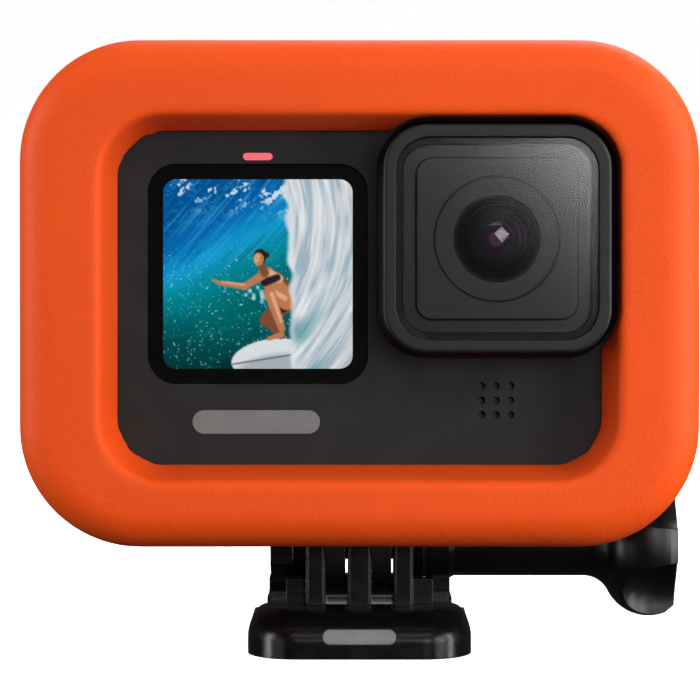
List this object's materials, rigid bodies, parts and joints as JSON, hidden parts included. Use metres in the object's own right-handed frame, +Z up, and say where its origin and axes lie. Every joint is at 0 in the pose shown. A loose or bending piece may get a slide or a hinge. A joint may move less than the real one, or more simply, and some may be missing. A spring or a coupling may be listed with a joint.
{
  "type": "action camera in foam float",
  "caption": "Rugged action camera with square front screen and removable square lens cover, in a foam float, clamped by a thumb screw to a quick-release buckle.",
  "frame": {"origin": "on the buckle's flat bottom face, straight below the tilt axis", "axes": "+Z up, the lens looks along -Y, +X to the right of a viewer facing the lens"},
  "size_m": [0.0922, 0.0456, 0.0835],
  "materials": {
    "foam_orange": "closed-cell foam skin, fine pebble",
    "body_rubber": "soft-touch, matte",
    "bezel_plastic": "satin moulded",
    "buckle_plastic": "moulded, semi-gloss",
    "knob_plastic": "fine spark-eroded texture",
    "washer_plastic": "smooth",
    "finger_plastic": "moulded, semi-gloss",
    "button_plastic": "satin moulded",
    "ring_print": "red ring",
    "steel": "machined",
    "seal_rubber": "matte",
    "screen_black": "polished, black border",
    "display": "lit screen showing a breaking wave",
    "status_red": "lit red",
    "badge_print": "plain grey",
    "cover_glass": "coated, clear",
    "mask_plastic": "matte black",
    "barrel_aluminium": "black anodised",
    "baffle_black": "blackened, stepped",
    "chip_black": "moulded",
    "circuit_board": "solder mask",
    "battery_wrap": "printed film",
    "cage_plastic": "moulded",
    "pull_tab": "film",
    "sink_aluminium": "pressed"
  },
  "bodies": {
    "buckle": {"buckle_base": "buckle_plastic", "hex_nut": "steel", "buckle_badge": "badge_print"},
    "clip_left": {"clip_arm_left": "buckle_plastic"},
    "clip_right": {"clip_arm_right": "buckle_plastic"},
    "screw_carriage": {"thrust_washer": "washer_plastic"},
    "thumb_screw": {"screw_shaft": "steel", "thumb_knob": "knob_plastic", "knob_end_cap": "knob_plastic"},
    "shutter": {"shutter_button": "button_plastic", "shutter_ring": "ring_print"},
    "mode": {"mode_button": "button_plastic"},
    "float": {"float_case": "foam_orange"},
    "camera": {"front_housing": "body_rubber", "rear_housing": "body_rubber", "body_gasket": "seal_rubber", "housing_screws": "steel", "front_window": "screen_black", "front_display": "display", "rear_touch_glass": "screen_black", "rear_display": "display", "status_light": "status_red", "front_badge": "badge_print", "lens_mount": "bezel_plastic", "lens_cover_bezel": "bezel_plastic", "lens_cover_glass": "cover_glass", "lens_cover_seal": "seal_rubber", "lens_mask": "mask_plastic", "lens_barrel": "barrel_aluminium", "lens_front_element": "cover_glass", "lens_baffle": "baffle_black", "lens_rear_element": "cover_glass", "image_sensor": "chip_black", "sensor_board": "circuit_board", "battery": "battery_wrap", "battery_cage": "cage_plastic", "battery_pull_tab": "pull_tab", "main_board": "circuit_board", "processor": "chip_black", "heat_sink": "sink_aluminium", "usb_port": "steel", "card_slot": "steel", "memory_card": "chip_black", "speaker": "chip_black", "front_microphone": "mask_plastic", "battery_door": "body_rubber", "door_latch": "bezel_plastic", "door_hinge_pin": "steel", "door_seal": "seal_rubber", "shutter_switch": "chip_black", "mode_switch": "chip_black", "finger_plate": "bezel_plastic", "finger_left": "finger_plastic", "finger_right": "finger_plastic", "finger_pins": "steel"}
  },
  "joints": [
    {"name": "camera_tilt", "type": "hinge", "parent": "buckle", "child": "camera", "pos_m": [0, 0, 0.0143], "axis": [1, 0, 0], "range_deg": [-40, 28]},
    {"name": "float_slide", "type": "slide", "parent": "camera", "child": "float", "axis": [0, -1, 0], "range_m": [0, 0.045]},
    {"name": "screw_travel", "type": "slide", "parent": "buckle", "child": "screw_carriage", "axis": [1, 0, 0], "range_m": [0, 0.004]},
    {"name": "screw_turn", "type": "hinge", "parent": "screw_carriage", "child": "thumb_screw", "pos_m": [0.02, 0, 0.0143], "axis": [1, 0, 0], "range_deg": [0, 1800]},
    {"name": "shutter_press", "type": "slide", "parent": "camera", "child": "shutter", "axis": [0, 0, -1], "range_m": [0, 0.0006], "stiffness_N_per_m": 1500},
    {"name": "mode_press", "type": "slide", "parent": "camera", "child": "mode", "axis": [1, 0, 0], "range_m": [0, 0.0005], "stiffness_N_per_m": 1500},
    {"name": "clip_left_squeeze", "type": "hinge", "parent": "buckle", "child": "clip_left", "pos_m": [-0.0105, 0.0056, 0.004], "axis": [0, 0, -1], "range_deg": [0, 4], "stiffness_Nm_per_rad": 2},
    {"name": "clip_right_squeeze", "type": "hinge", "parent": "buckle", "child": "clip_right", "pos_m": [0.0105, 0.0056, 0.004], "axis": [0, 0, 1], "range_deg": [0, 4], "stiffness_Nm_per_rad": 2}
  ],
  "couplings": [
    {"joint": "screw_turn", "follows": "screw_travel", "rad_per_m": 7854}
  ]
}
